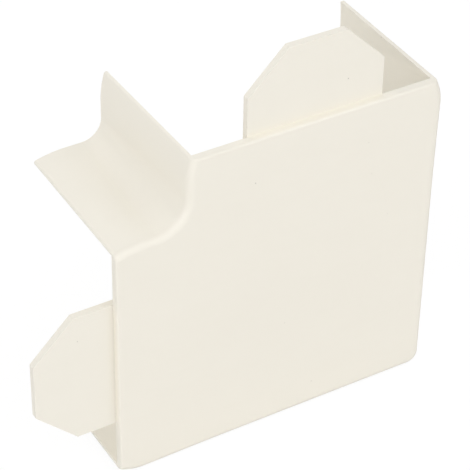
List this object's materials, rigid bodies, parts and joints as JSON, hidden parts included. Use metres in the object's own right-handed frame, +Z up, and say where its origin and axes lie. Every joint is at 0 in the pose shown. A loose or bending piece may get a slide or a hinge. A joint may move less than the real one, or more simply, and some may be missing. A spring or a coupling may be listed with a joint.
{
  "type": "trunking flat angle",
  "caption": "Moulded flat corner cover that joins surface trunking at a right angle on a wall, with an open back, open mouths and flat tabs that lie under the lids.",
  "frame": {"origin": "centre of the footprint, at the height of the lowest line of the outer wall it stands on", "axes": "+Z up along the vertical arm and out of its mouth, -X out of the other arm's mouth, +Y from the front face back towards the wall"},
  "size_m": [0.1044, 0.04, 0.1044],
  "materials": {
    "cream_plastic": "satin"
  },
  "bodies": {
    "root": {"flat_angle": "cream_plastic"}
  },
  "joints": []
}
